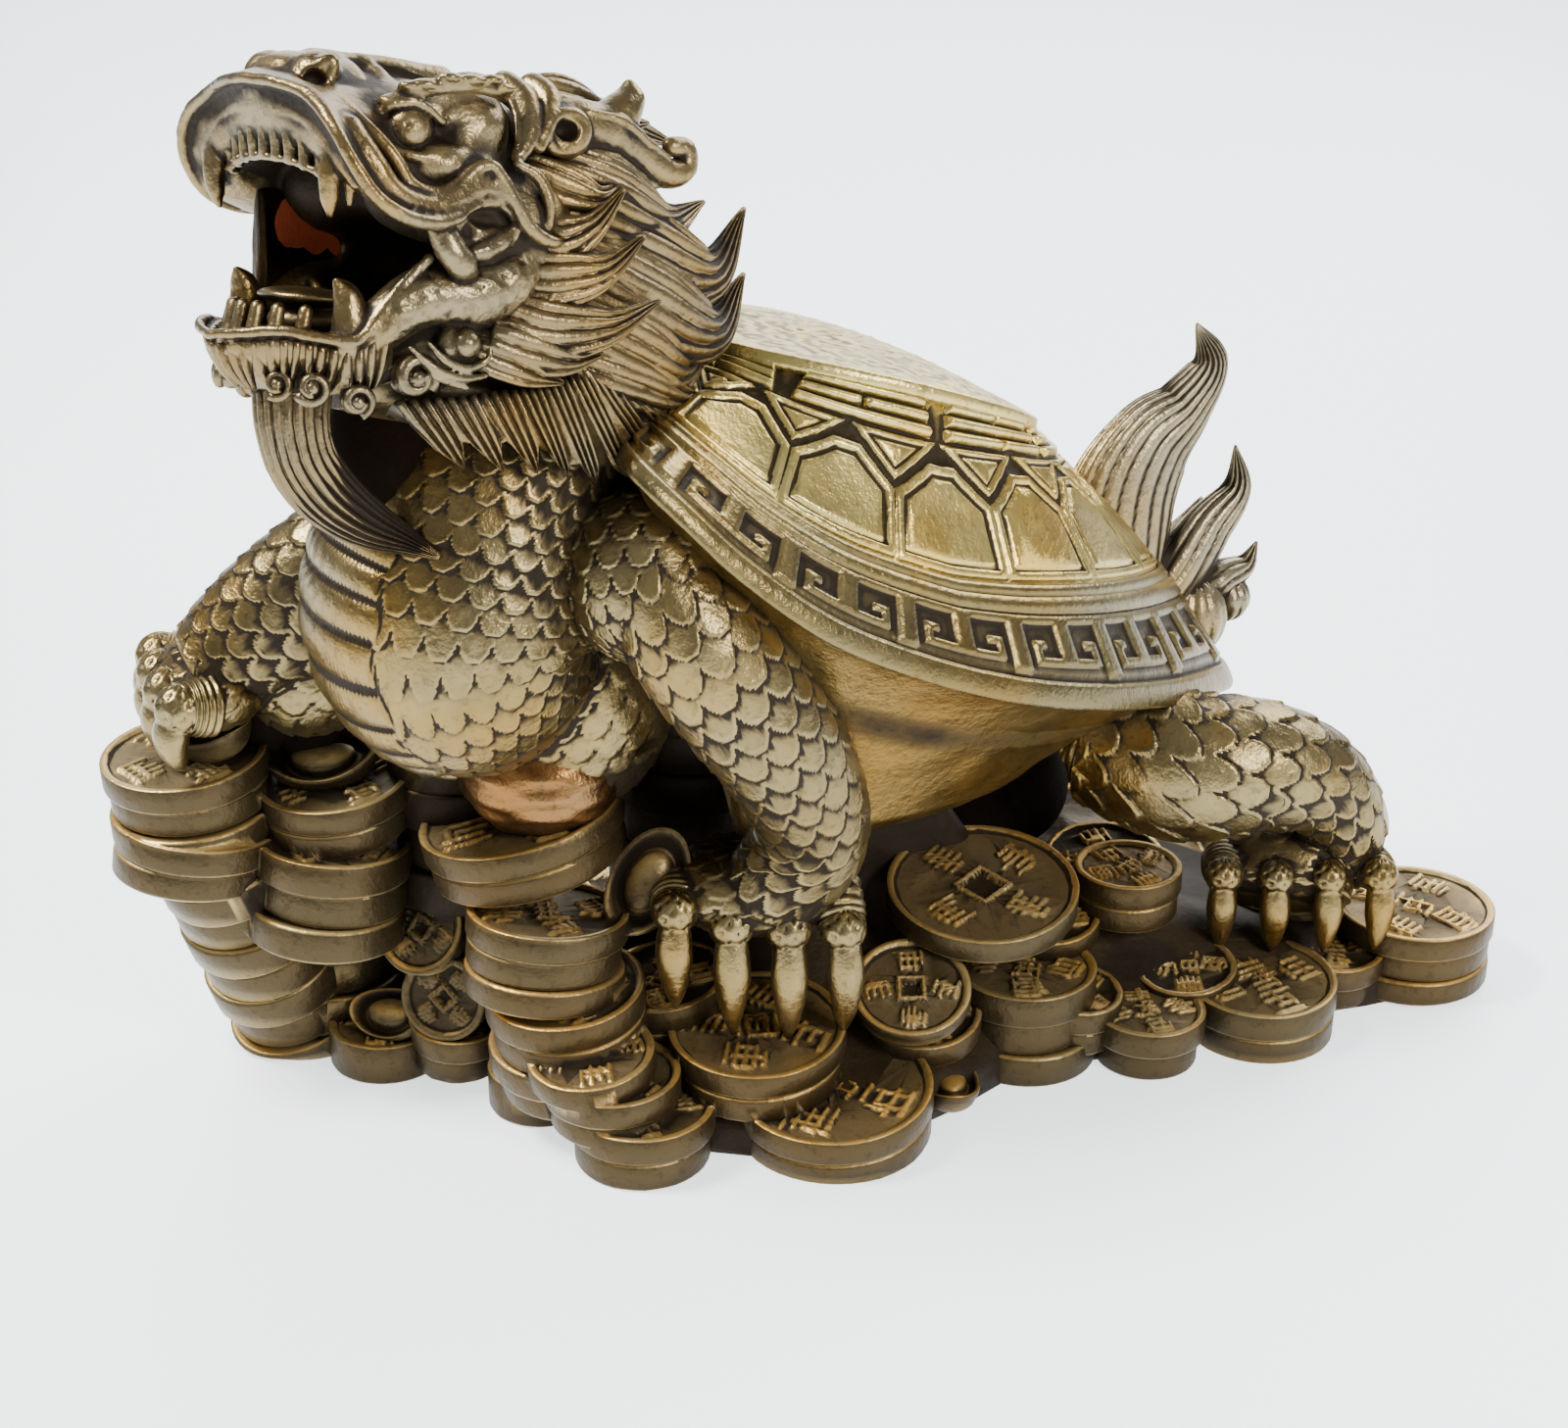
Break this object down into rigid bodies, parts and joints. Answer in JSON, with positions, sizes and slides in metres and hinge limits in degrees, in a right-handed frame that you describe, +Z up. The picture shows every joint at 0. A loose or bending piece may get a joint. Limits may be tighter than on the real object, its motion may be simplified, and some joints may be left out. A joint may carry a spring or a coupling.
{
  "type": "dragon turtle figure",
  "caption": "Cast brass dragon turtle with a horned, open-mouthed head and patterned shell, standing on a heap of coins and ingots.",
  "frame": {"origin": "centre of the underside of the whole figure's bounding box", "axes": "+Z up, +Y from the head towards the tail along the figure's length, +X to the turtle's left"},
  "size_m": [0.1304, 0.281, 0.2156],
  "materials": {
    "antique_brass": "antiqued cast brass, dark in the hollows and rubbed to a warm gold on the raised places"
  },
  "bodies": {
    "root": {"dragon_turtle_casting": "antique_brass"}
  },
  "joints": []
}
